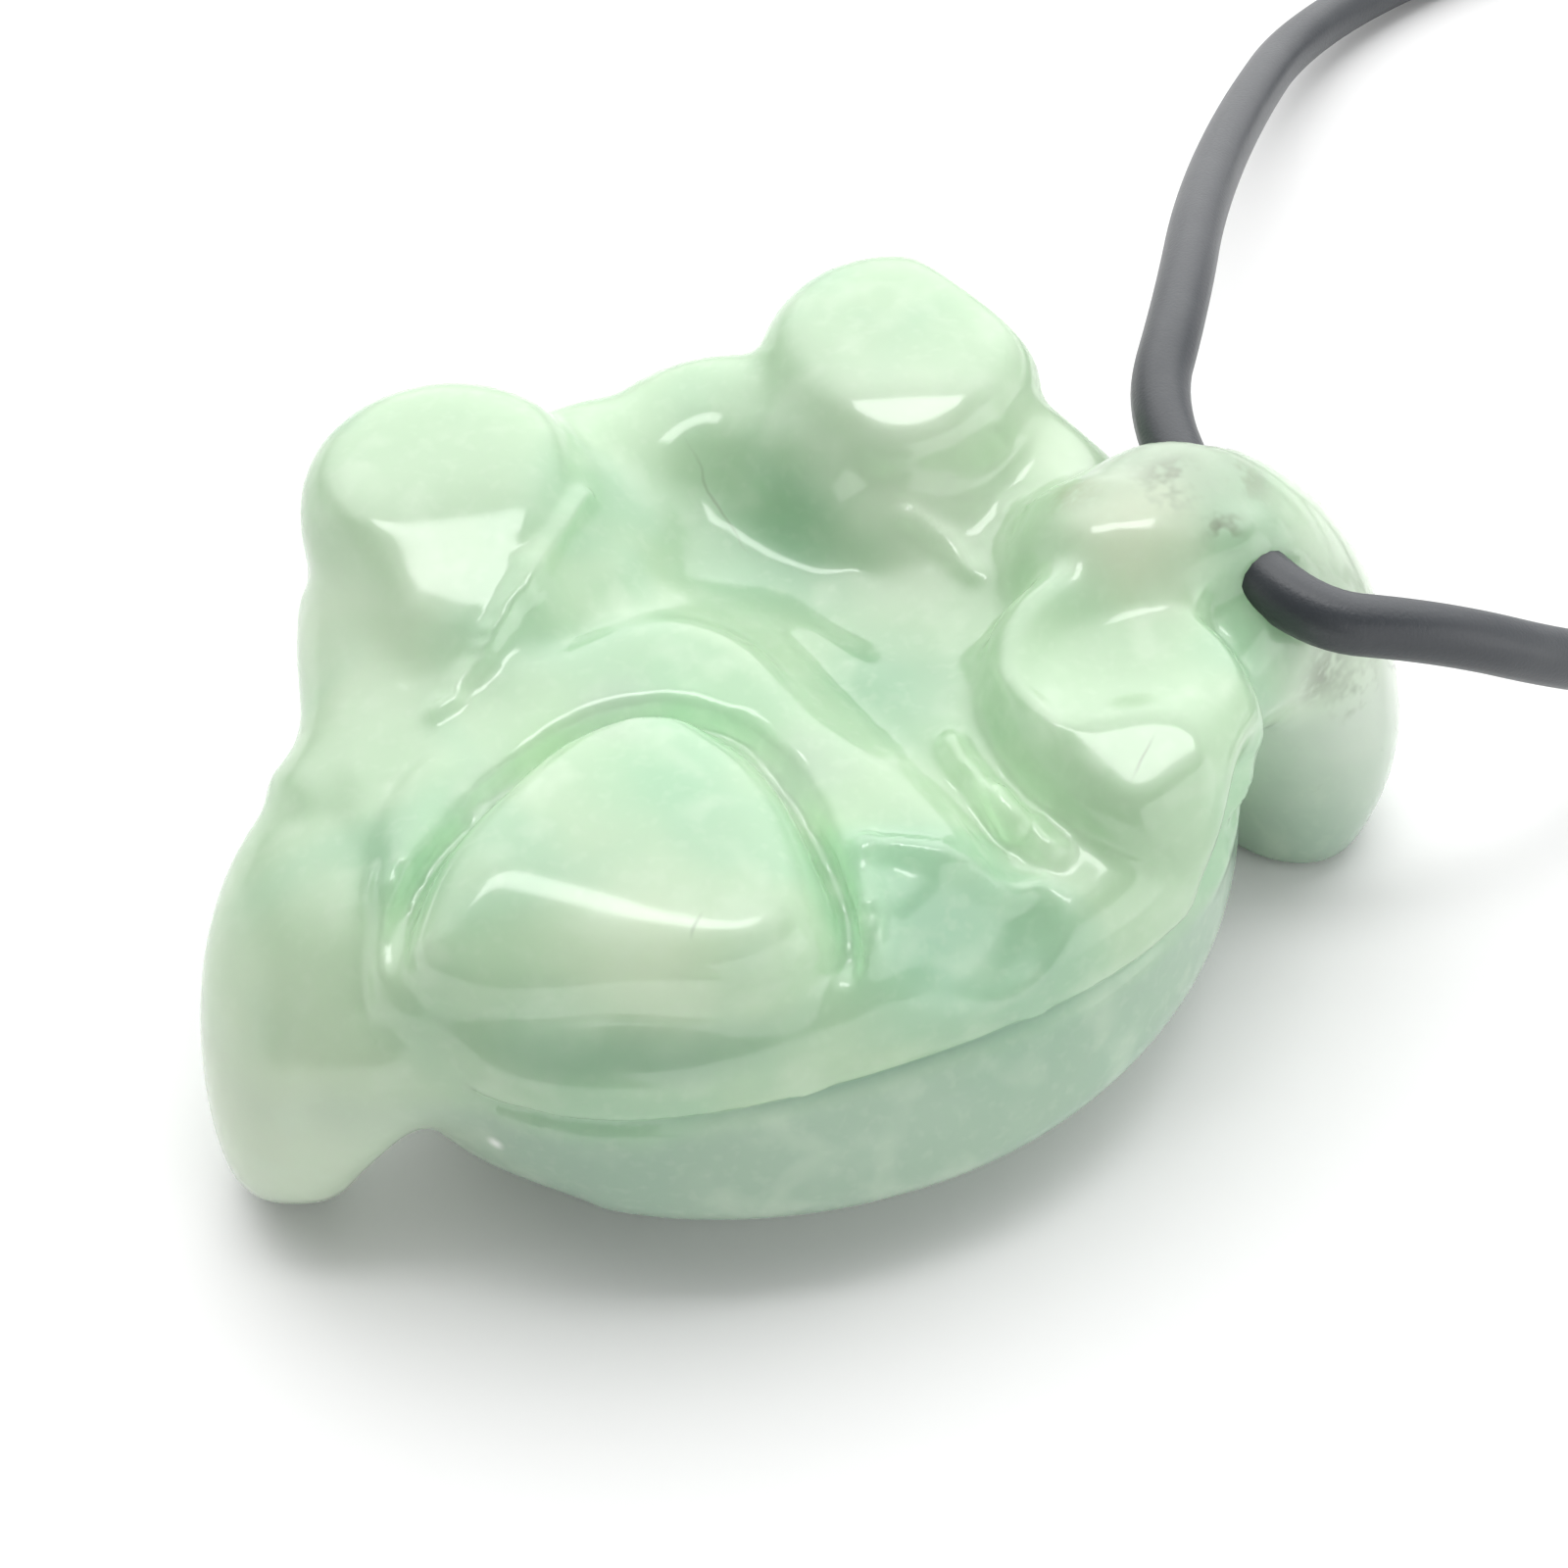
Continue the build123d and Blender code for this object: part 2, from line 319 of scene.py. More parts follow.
@dataclass(frozen=True)
class JadeFinish:
    """Polished pale green jade with greener clouds, milky flecks and a greyer head, with painted shade on
    the lower shell and in the grooves and painted light on some shaded walls.
    """

    mint: Tint = (0.385, 0.535, 0.360)
    moss: Tint = (0.265, 0.47, 0.31)
    milk: Tint = (0.56, 0.68, 0.53)
    # the lower shell's own bluer tone, darkened further with painted shade where it faces the table
    lower_shell_tone_and_shade: Tint = (0.29, 0.41, 0.32)
    vein: Tint = (0.22, 0.26, 0.19)
    moss_share: float = 0.45
    lower_shell_shade_share: float = 0.75
    lower_shell_shade_heights: tuple[float, float] = (9.6, 8.0)  # heights between which painted shade darkens the lower shell
    milk_share: float = 0.30
    fleck_share: float = 0.12
    vein_share: float = 0.35
    drift: float = 3.0  # how far the zones' edges wander
    roughness: float = 0.11
    wear: float = 0.05  # extra roughness in the milky clouds
    relief: float = 0.04
    depth: float = 5.0  # how far light spreads below the surface
    head: tuple[Point, float] = ((20.0, -2.5, 7.0), 8.0)  # where the veins show, and how far round
    # the stone's own tones, with patches of painted light and painted shade among them as marked
    tones_and_painted_light: tuple[Zone, ...] = (
        Zone((-6.5, -5.0, 14.5), 3.2, (0.26, 0.50, 0.31), 0.45),  # top of the flat foot
        Zone((-9.0, 3.4, 13.0), 3.4, (0.30, 0.52, 0.35), 0.50),  # leg band
        Zone((1.2, 4.8, 11.4), 5.2, (0.25, 0.44, 0.28), 0.75),  # belly
        Zone((2.2, -2.0, 11.5), 4.0, (0.22, 0.40, 0.25), 0.80),
        Zone((1.6, -12.6, 9.0), 4.6, (0.24, 0.40, 0.28), 0.60),  # rim
        Zone((-0.8, -10.4, 11.4), 4.4, (0.23, 0.41, 0.28), 0.75),
        Zone((-9.0, -10.2, 12.9), 4.4, (0.57, 0.68, 0.50), 0.85),  # painted light on the slope of the flat foot, which faces the viewer
        Zone((-10.8, -2.4, 13.0), 2.4, (0.37, 0.46, 0.37), 0.65),  # painted shade in the channel round the flat foot
        Zone((-6.4, -1.7, 13.0), 2.4, (0.37, 0.46, 0.37), 0.65),
        Zone((-2.3, -4.8, 12.2), 2.6, (0.37, 0.46, 0.37), 0.65),
        Zone((10.6, 4.4, 13.6), 3.2, (0.62, 0.74, 0.57), 0.80),  # painted light on the shaded side of the far front foot
        Zone((-14.2, -3.6, 12.6), 3.0, (0.24, 0.42, 0.27), 0.60),
        Zone((-19.5, -5.0, 5.0), 9.5, (0.65, 0.74, 0.56), 0.80),  # tail
        Zone((-12.6, 5.4, 12.8), 6.0, (0.54, 0.66, 0.49), 0.80),  # far rear foot
        Zone((5.8, 4.4, 13.6), 5.2, (0.61, 0.72, 0.56), 0.90),  # far front foot: its own paler tone, with painted light lifting its shaded walls
        Zone((19.5, -1.0, 7.0), 10.0, (0.78, 0.84, 0.74), 0.95),  # head
        Zone((12.6, 0.9, 14.6), 5.4, (0.33, 0.40, 0.31), 0.85),  # neck
        Zone((10.4, -1.4, 14.4), 3.6, (0.56, 0.62, 0.47), 0.85),
    )
    stains: tuple[Zone, ...] = (
        Zone((13.3, -2.4, 14.9), 1.1, (0.18, 0.23, 0.15), 1.0),
        Zone((12.4, -0.4, 15.3), 1.8, (0.24, 0.28, 0.21), 0.90),
        Zone((14.9, -0.8, 14.8), 1.6, (0.26, 0.33, 0.23), 0.85),
        Zone((9.8, 0.6, 14.7), 1.4, (0.28, 0.32, 0.20), 0.70),
        Zone((16.2, -5.2, 9.6), 1.8, (0.28, 0.33, 0.25), 0.85),
        Zone((17.6, -5.0, 8.0), 1.6, (0.28, 0.33, 0.25), 0.80),
        Zone((-16.7, -7.2, 9.8), 0.4, (0.20, 0.26, 0.18), 0.80),
        Zone((-10.3, -12.0, 9.1), 0.3, (0.24, 0.30, 0.22), 0.60),
        Zone((-13.9, -9.7, 6.2), 0.4, (0.85, 0.90, 0.84), 0.90),  # a pale chip
    )
    seams_and_shade_bands: tuple[Seam, ...] = (
        Seam((7.4, -8.9, 13.3), (0.57, -0.82, 0.0), 1.1, 0.75),
        Seam((-7.2, -9.6, 13.3), (0.67, -0.74, 0.0), 0.55, 0.60),
        Seam((0.0, 7.3, 12.0), (0.98, 0.15, 0.0), 2.8, 0.50),
        Seam(  # painted shade in the channel under the flat foot
            (-9.5, -11.2, 10.45),
            (0.0, -0.096, 1.0),
            7.5,
            0.75,
            width=0.85,
            wobble=0.5,
            colour=(0.21, 0.34, 0.23),
        ),
        Seam(  # painted shade in the incised line round the shell
            (-2.0, -12.0, 7.94),
            (0.0, -0.096, 1.0),
            15.0,
            0.75,
            width=0.42,
            wobble=0.15,
            colour=(0.15, 0.27, 0.19),
        ),
    )

    def material(self) -> bpy.types.Material:
        """Returns the finished material."""
        recipe = Recipe("jade")
        broad = recipe.cloud(7.0, detail=2.0, warp=0.4)
        fine = recipe.cloud(2.2, detail=2.0, shift=(40.0, 0.0, 10.0), warp=0.25)
        grain = recipe.cloud(0.45, detail=1.0, shift=(0.0, 30.0, 0.0))
        colour = recipe.blend(broad.rise(0.46, 0.66) * self.moss_share, self.mint, self.moss)
        # painted shade: the shell turns darker towards the bottom, where it faces the table
        height = recipe.axis("Z") + broad * 2.0
        colour = recipe.blend(height.rise(*self.lower_shell_shade_heights) * self.lower_shell_shade_share, colour, self.lower_shell_tone_and_shade)
        colour = self._patches(recipe, colour)
        colour = recipe.blend(fine.rise(0.50, 0.74) * self.milk_share, colour, self.milk)
        colour = recipe.blend(grain.rise(0.50, 0.80) * self.fleck_share, colour, self.milk)
        colour = self._marks(recipe, colour, fine, grain)
        thread = recipe.cloud(3.0, detail=2.0, shift=(5.0, 5.0, 5.0), warp=1.2).distance_to(CLOUD_MEAN)
        veins = thread.rise(0.030, 0.0) * recipe.spot(*self.head) * fine.rise(0.50, 0.62)
        colour = recipe.blend(veins * self.vein_share, colour, self.vein)
        return recipe.surface(
            {
                "Base Color": colour,
                "Roughness": self.roughness + fine.rise(0.45, 0.75) * self.wear,
                "Normal": recipe.relief(recipe.cloud(5.0, detail=1.0), self.relief),
                "IOR": 1.6,
                "Subsurface Weight": 0.80,
                "Subsurface Radius": (0.75, 1.0, 0.75),
                "Subsurface Scale": self.depth * MM,
            }
        )

    def _patches(self, recipe: Recipe, colour: Signal) -> Signal:
        """Lays the zones, the stone's own tones with the painted light and shade among them, over the stone,
        with edges that wander.

        Args:
            recipe: The material's recipe.
            colour: The colour so far.

        Returns:
            The new colour.
        """
        inputs = {"Vector": recipe.place, "Scale": 0.22, "Detail": 2.0}
        slow = recipe.node("ShaderNodeTexNoise", None, inputs, output="Color")
        middle = (CLOUD_MEAN, CLOUD_MEAN, CLOUD_MEAN)
        drift = recipe.node("ShaderNodeVectorMath", {"operation": "SUBTRACT"}, {0: slow, 1: middle})
        inputs = {0: drift, "Scale": self.drift}
        wander = recipe.node("ShaderNodeVectorMath", {"operation": "SCALE"}, inputs)
        place = recipe.node("ShaderNodeVectorMath", {"operation": "ADD"}, {0: recipe.place, 1: wander})
        for zone in self.tones_and_painted_light:
            mask = recipe.spot(zone.centre, zone.radius, place)
            colour = recipe.blend(mask * zone.share, colour, zone.colour)
        return colour

    def _marks(self, recipe: Recipe, colour: Signal, fine: Signal, grain: Signal) -> Signal:
        """Lays the stains, the seams and the painted shade bands over the stone.

        Args:
            recipe: The material's recipe.
            colour: The colour so far.
            fine: The cloud that breaks the stains up and pushes the seams about.
            grain: The cloud that breaks the stains up further.

        Returns:
            The new colour.
        """
        broken = (fine * 0.6 + grain * 0.4).rise(0.40, 0.58)
        for stain in self.stains:
            mask = recipe.spot(stain.centre, stain.radius) * broken
            colour = recipe.blend(mask * stain.share, colour, stain.colour)
        for seam in self.seams_and_shade_bands:
            colour = recipe.blend(seam.mask(recipe, fine), colour, seam.colour)
        return colour


@dataclass(frozen=True)
class CordFinish:
    """Satin dark grey rubber."""

    grey: Tint = (0.040, 0.045, 0.052)
    pale: Tint = (0.060, 0.066, 0.072)
    roughness: float = 0.32

    def material(self) -> bpy.types.Material:
        """Returns the finished material."""
        recipe = Recipe("cord")
        bloom = recipe.cloud(2.5, detail=3.0)
        grain = recipe.cloud(0.12, detail=2.0)
        colour = recipe.blend(bloom.rise(0.45, 0.75) * 0.5, self.grey, self.pale)
        return recipe.surface(
            {
                "Base Color": colour,
                "Roughness": self.roughness + grain * 0.10,
                "Normal": recipe.relief(grain, 0.012),
                "IOR": 1.5,
            }
        )


@dataclass(frozen=True)
class SteelFinish:
    """Brushed steel, with its fine lines along the clasp."""

    steel: Tint = (0.62, 0.62, 0.63)
    shade: Tint = (0.50, 0.50, 0.51)
    roughness: float = 0.26

    def material(self) -> bpy.types.Material:
        """Returns the finished material."""
        recipe = Recipe("clasp")
        stretch = {"Vector": recipe.place, "Scale": (0.12, 9.0, 9.0)}
        lines = recipe.node("ShaderNodeMapping", None, stretch)
        brush = recipe.node("ShaderNodeTexNoise", None, {"Vector": lines, "Scale": 1.0, "Detail": 3.0})
        return recipe.surface(
            {
                "Base Color": recipe.blend(brush, self.shade, self.steel),
                "Roughness": self.roughness + brush * 0.12,
                "Normal": recipe.relief(brush, 0.008),
                "Metallic": 1.0,
            }
        )


class Profile(Enum):
    """How a stroke's height falls off across its width."""

    ROUND = "round"
    SHARP = "sharp"

    def fall(self, share: np.ndarray) -> np.ndarray:
        """Gives the height at a distance from the stroke's line.

        Args:
            share: The distance as a share of the half width.

        Returns:
            The height, 1 on the line.
        """
        if self is Profile.SHARP:
            return np.clip(1.0 - share, 0.0, 1.0) ** 1.3
        return np.exp(-2.0 * share**2)


@dataclass(frozen=True)
class Lump:
    """A rounded mass that is fused with the carving before it is cut."""

    centre: Point
    radii: Point
    turn: float = 0.0  # degrees round the upright
    dip: float = 0.0  # degrees down at its far end

    def add(self, shape: bmesh.types.BMesh) -> None:
        """Adds the mass to a mesh.

        Args:
            shape: The mesh.
        """
        place = Matrix.Translation(Vector(self.centre) * MM)
        turn = Matrix.Rotation(math.radians(self.turn), 4, "Z")
        dip = Matrix.Rotation(math.radians(self.dip), 4, "Y")
        size = Matrix.Diagonal((*(radius * MM for radius in self.radii), 1.0))
        matrix = place @ (turn @ dip) @ size
        bmesh.ops.create_uvsphere(shape, u_segments=32, v_segments=20, radius=1.0, matrix=matrix)


class Clay:
    """The carving's mesh while it is worked, in millimetres."""

    def __init__(self, mesh: bpy.types.Mesh) -> None:
        """Takes a mesh up.

        Args:
            mesh: The blank.
        """
        self.mesh = mesh
        flat = np.empty(len(mesh.vertices) * 3, np.float32)
        mesh.vertices.foreach_get("co", flat)
        self.places = flat.reshape(-1, 3).astype(float) / MM
        ends = np.empty(len(mesh.edges) * 2, np.int32)
        mesh.edges.foreach_get("vertices", ends)
        self.edges = ends.reshape(-1, 2)

    def write(self) -> None:
        """Gives the mesh its present points."""
        self.mesh.vertices.foreach_set("co", (self.places * MM).astype(np.float32).ravel())
        self.mesh.update()

    def normals(self) -> np.ndarray:
        """Returns every point's normal."""
        self.write()
        flat = np.empty(len(self.places) * 3, np.float32)
        self.mesh.vertex_normals.foreach_get("vector", flat)
        return flat.reshape(-1, 3).astype(float)

    def away(self, centre: Point) -> np.ndarray:
        """Returns every point's distance from a place."""
        return np.linalg.norm(self.places - np.array(centre), axis=1)

    def pull(self, heights: np.ndarray) -> None:
        """Moves every point along its normal.

        Args:
            heights: How far, for each point.
        """
        self.places += self.normals() * heights[:, None]

    def relax(self, rounds: int, weight: np.ndarray) -> None:
        """Moves points towards the middle of their neighbours.

        Args:
            rounds: How many times.
            weight: How far each point goes, from 0 to 1.
        """
        inside = weight > 0.0
        edges = self.edges[inside[self.edges].any(axis=1)]
        used, local = np.unique(edges, return_inverse=True)
        local = local.reshape(-1, 2)
        near = np.concatenate([local[:, 0], local[:, 1]])
        far = np.concatenate([local[:, 1], local[:, 0]])
        places, share = self.places[used], weight[used][:, None]
        whole = np.isin(used, np.flatnonzero(inside))[:, None]
        count = np.maximum(np.bincount(near, minlength=len(used)), 1)[:, None]
        for _ in range(rounds):
            sums = [np.bincount(near, weights=places[far, axis], minlength=len(used)) for axis in range(3)]
            places = np.where(whole, places + share * (np.stack(sums, axis=1) / count - places), places)
        self.places[used] = places

    def finish(self) -> None:
        """Ends the work: the surface reaches down to the table at the lowest and is shaded smooth."""
        self.places[:, 2] = np.maximum(self.places[:, 2], 0.0)
        self.write()
        self.mesh.shade_smooth()


@dataclass(frozen=True)
class Drawn:
    """A line drawn on the surface from above, in millimetres."""

    path: tuple[Point, ...]
    half_width: float

    def line(self, step: float = 0.35) -> np.ndarray:
        """Gives the drawn path with its corners cut and its points at an even step.

        Args:
            step: The longest distance between two points, in millimetres.

        Returns:
            The drawn points.
        """
        points = np.array(self.path, float)
        for _ in range(3):
            if len(points) > 2:
                near = 0.75 * points[:-1] + 0.25 * points[1:]
                far = 0.25 * points[:-1] + 0.75 * points[1:]
                inner = np.stack([near, far], axis=1).reshape(-1, 2)
                points = np.vstack([points[:1], inner[1:-1], points[-1:]])
        out = [points[0]]
        for first, second in zip(points[:-1], points[1:], strict=True):
            count = max(1, math.ceil(np.linalg.norm(second - first) / step))
            out += [first + (second - first) * (i + 1) / count for i in range(count)]
        return np.array(out)

    def seat(self, clay: Clay) -> np.ndarray:
        """Finds the path on the surface.

        Args:
            clay: The carving.

        Returns:
            The points of the carving that the path runs over.
        """
        drawn = self.line()
        lows, highs = drawn.min(0) - self.half_width, drawn.max(0) + self.half_width
        plane = clay.places[:, :2]
        near = clay.places[((plane > lows) & (plane < highs)).all(axis=1)]
        hits = []
        for point in drawn:
            column = near[np.linalg.norm(near[:, :2] - point, axis=1) < COLUMN]
            if len(column):
                hits.append(column[np.argmax(column[:, 2])])
        return np.array(hits)

    def shares(self, clay: Clay) -> np.ndarray:
        """Gives every point's distance from the line, as a share of the half width.

        Args:
            clay: The carving.

        Returns:
            The shares, which far from the line are only large.
        """
        line = self.seat(clay)
        reach = 2.2 * self.half_width
        inside = (clay.places > line.min(0) - reach) & (clay.places < line.max(0) + reach)
        near = np.flatnonzero(inside.all(axis=1))
        away = np.full(len(near), np.inf)
        for first, second in zip(line[:-1], line[1:], strict=True):
            run = second - first
            share = np.clip((clay.places[near] - first) @ run / max(float(run @ run), 1e-9), 0.0, 1.0)
            away = np.minimum(away, np.linalg.norm(clay.places[near] - first - share[:, None] * run, axis=1))
        shares = np.full(len(clay.places), 9.0)
        shares[near] = away / self.half_width
        return shares


@dataclass(frozen=True)
class Stroke(Drawn):
    """One pull of a carving tool, which raises or cuts the surface along its normals."""

    lift: float = 0.3
    profile: Profile = Profile.ROUND

    def work(self, clay: Clay) -> None:
        """Pulls the surface.

        Args:
            clay: The carving.
        """
        clay.pull(self.lift * self.profile.fall(self.shares(clay)))


@dataclass(frozen=True)
class Smear(Drawn):
    """A line along which the surface is rubbed smooth."""

    rounds: int = 20

    def work(self, clay: Clay) -> None:
        """Rubs the surface.

        Args:
            clay: The carving.
        """
        clay.relax(self.rounds, 0.7 * np.clip(1.0 - self.shares(clay) ** 2, 0.0, 1.0))


@dataclass(frozen=True)
class Facet:
    """A flat ground on the surface: whatever stands above a tilted plane comes down to it."""

    centre: Point
    tilt: float  # degrees from level
    turn: float  # the way it looks, in degrees round from the head
    reach: float
    softness: float = 0.15

    def work(self, clay: Clay) -> None:
        """Grinds the flat.

        Args:
            clay: The carving.
        """
        tilt, turn = math.radians(self.tilt), math.radians(self.turn)
        normal = np.array([math.sin(tilt) * math.cos(turn), math.sin(tilt) * math.sin(turn), math.cos(tilt)])
        offset = clay.places - np.array(self.centre)
        height = offset @ normal
        away = np.linalg.norm(offset - height[:, None] * normal, axis=1)
        near = np.flatnonzero((away < self.reach) & (height > -3.0 * self.softness) & (height < self.reach))
        drop = self.softness * np.logaddexp(0.0, height[near] / self.softness)
        fade = 1.0 - (away[near] / self.reach) ** 6
        clay.places[near] -= normal * (drop * fade)[:, None]


@dataclass(frozen=True)
class Swell:
    """A soft rise or hollow round a point, along the surface's own normals."""

    centre: Point
    radius: float
    lift: float

    def work(self, clay: Clay) -> None:
        """Swells the surface.

        Args:
            clay: The carving.
        """
        clay.pull(self.lift * Profile.ROUND.fall(clay.away(self.centre) / self.radius))


@dataclass(frozen=True)
class Rub:
    """A place rubbed smooth, most in its middle."""

    centre: Point
    radius: float
    rounds: int

    def work(self, clay: Clay) -> None:
        """Rubs the surface.

        Args:
            clay: The carving.
        """
        clay.relax(self.rounds, 0.7 * np.clip(1.0 - (clay.away(self.centre) / self.radius) ** 2, 0.0, 1.0))


Mark = Stroke | Smear | Facet | Swell | Rub


def mesh_object(name: str, mesh: bpy.types.Mesh) -> bpy.types.Object:
    """Puts a mesh into the scene.

    Args:
        name: The object's name.
        mesh: Its mesh.

    Returns:
        The object, at the origin.
    """
    obj = bpy.data.objects.new(name, mesh)
    bpy.context.scene.collection.objects.link(obj)
    return obj


def dress(obj: bpy.types.Object, material: bpy.types.Material) -> None:
    """Gives an object one material all over.

    Args:
        obj: The object.
        material: Its material.
    """
    obj.data.materials.clear()
    obj.data.materials.append(material)


def lumps() -> tuple[Lump, ...]:
    """Returns the masses that join the feet, the tail, the neck and the shell to each other."""
    return (
        Lump(centre=(-2.8, 10.5, 10.9), radii=(4.8, 3.0, 2.9), turn=-4),
        Lump(centre=(-4.0, 7.4, 11.0), radii=(3.2, 2.8, 2.4), turn=-20),
        Lump(centre=(-5.4, 5.0, 11.5), radii=(2.8, 2.6, 2.2)),
        Lump(centre=(3.2, 7.4, 12.2), radii=(2.4, 2.8, 2.3)),
        Lump(centre=(-2.8, 3.0, 10.6), radii=(4.2, 2.2, 1.6), turn=-14),
        Lump(centre=(0.5, -0.8, 10.5), radii=(1.9, 4.0, 1.5), turn=12),
        Lump(centre=(-14.9, 0.8, 10.0), radii=(2.4, 3.2, 2.4), turn=-6),
        Lump(centre=(1.6, 10.7, 11.2), radii=(4.8, 2.9, 2.9), turn=-10),
        Lump(centre=(6.6, 5.0, 11.2), radii=(4.2, 2.5, 2.3), turn=-8),
        Lump(centre=(-9.2, 4.9, 12.9), radii=(3.4, 2.5, 2.6), turn=-32),
        Lump(centre=(-12.7, 5.2, 10.9), radii=(2.35, 5.4, 2.4), turn=-12),
        Lump(centre=(-16.0, -6.8, 7.9), radii=(2.5, 1.8, 2.2), turn=-40),
        Lump(centre=(-17.2, -7.0, 6.1), radii=(1.7, 1.5, 3.3), dip=24),
        Lump(centre=(13.5, -2.3, 12.8), radii=(2.5, 1.4, 2.3)),
        Lump(centre=(13.8, -4.2, 10.2), radii=(2.4, 2.0, 2.9)),
    )


def far_feet() -> tuple[Mark, ...]:
    """Returns the marks on the two round feet of the far side."""
    return (
        Facet(centre=(2.0, 10.5, 16.0), tilt=84, turn=157, reach=2.6, softness=0.3),
        Facet(centre=(7.6, 9.6, 15.55), tilt=4, turn=100, reach=5.0, softness=0.25),
        Facet(centre=(11.3, 9.5, 14.0), tilt=66, turn=18, reach=4.5, softness=0.3),
        Rub(centre=(2.2, 8.2, 12.8), radius=4.2, rounds=80),
        Rub(centre=(-2.6, 8.4, 12.6), radius=4.0, rounds=80),
        Rub(centre=(6.6, 3.2, 12.0), radius=2.8, rounds=60),
        Rub(centre=(10.8, 4.4, 13.0), radius=2.4, rounds=60),
        Facet(centre=(6.2, 5.7, 15.35), tilt=21, turn=-117, reach=2.8, softness=0.08),
        Rub(centre=(1.6, 6.4, 11.8), radius=3.2, rounds=90),
        Rub(centre=(5.6, 3.2, 12.4), radius=2.2, rounds=50),
        Facet(centre=(-8.0, 9.5, 15.7), tilt=3, turn=110, reach=5.0, softness=0.3),
        Rub(centre=(-4.6, 6.4, 13.2), radius=3.4, rounds=150),
        Rub(centre=(-13.0, 4.6, 12.6), radius=4.4, rounds=160),
        Facet(centre=(-9.3, 5.4, 14.88), tilt=20, turn=-101, reach=4.8, softness=0.20),
        Rub(centre=(-9.4, 2.6, 13.4), radius=2.6, rounds=60),
    )


def near_front_foot() -> tuple[Mark, ...]:
    """Returns the marks on the paddle beside the neck."""
    return (
        Facet(centre=(8.4, -6.8, 13.70), tilt=5, turn=80, reach=4.6, softness=0.12),
        Swell(centre=(7.8, -5.6, 13.7), radius=2.6, lift=-0.25),
        Swell(centre=(7.9, -9.2, 13.0), radius=2.9, lift=0.60),
        Facet(centre=(7.7, -9.3, 13.60), tilt=18, turn=-127, reach=4.0, softness=0.05),
        Facet(centre=(11.7, -8.5, 13.2), tilt=60, turn=-42, reach=3.4, softness=0.3),
        Facet(centre=(8.4, -10.5, 12.75), tilt=55, turn=-88, reach=4.0, softness=0.12),
        Facet(centre=(9.6, -10.2, 11.0), tilt=100, turn=-30, reach=3.2, softness=0.3),
        Rub(centre=(10.4, -9.4, 12.2), radius=1.7, rounds=30),
        Rub(centre=(9.2, -11.0, 11.4), radius=2.0, rounds=40),
        Rub(centre=(10.5, -9.2, 12.2), radius=2.2, rounds=50),
        Rub(centre=(10.0, -10.2, 10.0), radius=2.0, rounds=50),
        Facet(centre=(5.1, -8.6, 12.9), tilt=48, turn=-155, reach=3.2, softness=0.15),
        Stroke(((4.6, -4.2), (4.9, -5.6), (5.3, -7.2)), 0.5, 0.18),
        Stroke(((5.4, -2.6), (7.4, -1.9), (9.6, -2.3), (11.4, -3.6)), 0.60, -0.15),
        Smear(((4.9, -3.6), (5.8, -2.4), (7.2, -1.7), (9.4, -2.2)), 1.2, 24),
        Rub(centre=(4.6, -3.2, 12.0), radius=1.8, rounds=30),
    )


def flat_foot() -> tuple[Mark, ...]:
    """Returns the marks on the flat near foot and under its straight edge."""
    edge = (
        (-14.3, -5.8), (-13.0, -4.8), (-11.4, -4.1), (-8.1, -3.2),
        (-5.4, -3.4), (-3.7, -4.8), (-3.0, -7.2), (-3.2, -9.8),
    )
    channel = (
        (-15.0, -4.4), (-13.0, -3.1), (-10.6, -2.3), (-7.6, -1.6),
        (-4.4, -1.9), (-2.6, -3.9), (-1.9, -7.0), (-2.3, -10.2),
    )
    under = (
        (-15.5, -7.9), (-13.5, -9.4), (-12.0, -10.1), (-8.5, -11.5),
        (-6.1, -12.2), (-4.0, -12.6),
    )
    return (
        Facet(centre=(-8.0, -6.5, 14.25), tilt=7, turn=0, reach=6.0, softness=0.3),
        Facet(centre=(-8.0, -9.5, 13.6), tilt=30, turn=-120, reach=7.5, softness=0.30),
        Facet(centre=(-8.0, -9.3, 13.62), tilt=15, turn=-107, reach=4.0, softness=0.05),
        Stroke(channel, 0.8, 0.25),
        Smear(edge, 1.3, 50),
        Stroke(under, 1.0, -0.28),
        Smear(under, 1.8, 30),
    )


